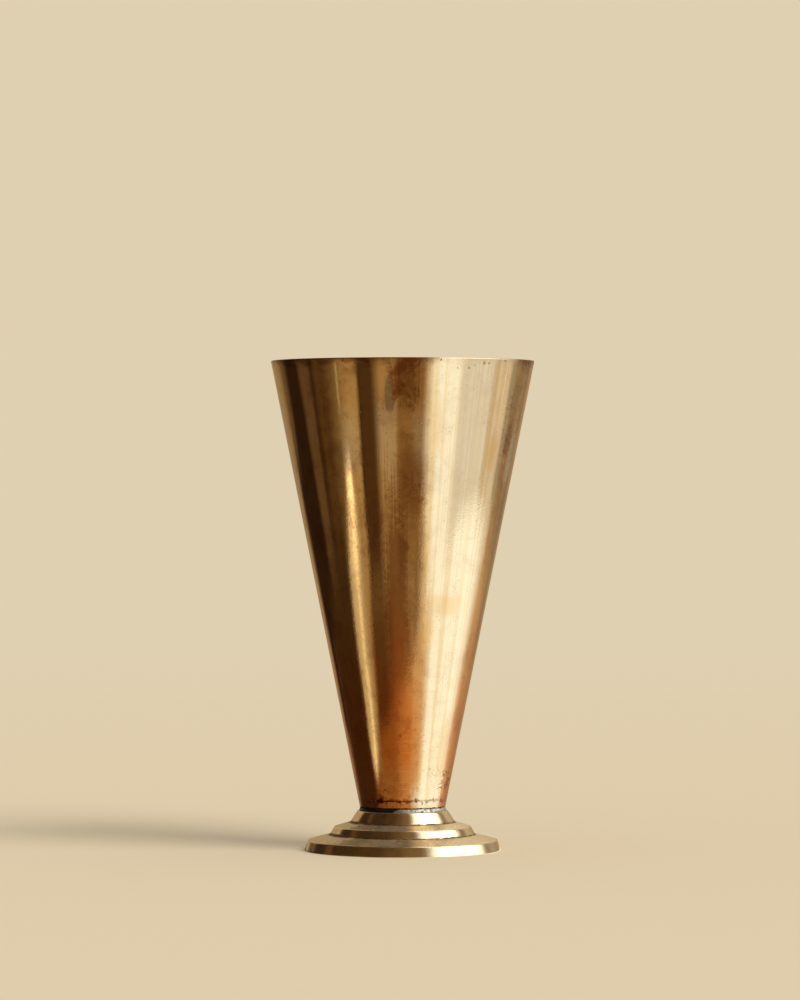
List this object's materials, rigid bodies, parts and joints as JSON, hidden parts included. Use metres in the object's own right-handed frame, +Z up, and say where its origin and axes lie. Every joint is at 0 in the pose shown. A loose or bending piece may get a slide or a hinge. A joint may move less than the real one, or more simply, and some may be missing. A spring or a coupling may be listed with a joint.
{
  "type": "conical vase",
  "caption": "Tall flower vase: a straight flaring cone of aged silver-plated sheet soldered onto a stepped round foot that is hollow underneath.",
  "frame": {"origin": "middle of the plane that the foot stands on", "axes": "+Z up along the vase's axis, -Y towards the side that the picture shows"},
  "size_m": [0.1402, 0.1402, 0.26],
  "materials": {
    "cone_plate": "aged silver plate on copper, polished, tarnished in clouds and worn to copper at the foot",
    "foot_plate": "worn pale plate on a casting, satin ledges",
    "floor_copper": "dull copper, water stained",
    "solder": "dull grey soft solder"
  },
  "bodies": {
    "root": {"stepped_foot": "foot_plate", "neck_solder": "solder", "cone_body": "cone_plate", "floor_disc": "floor_copper", "floor_solder": "solder"}
  },
  "joints": []
}
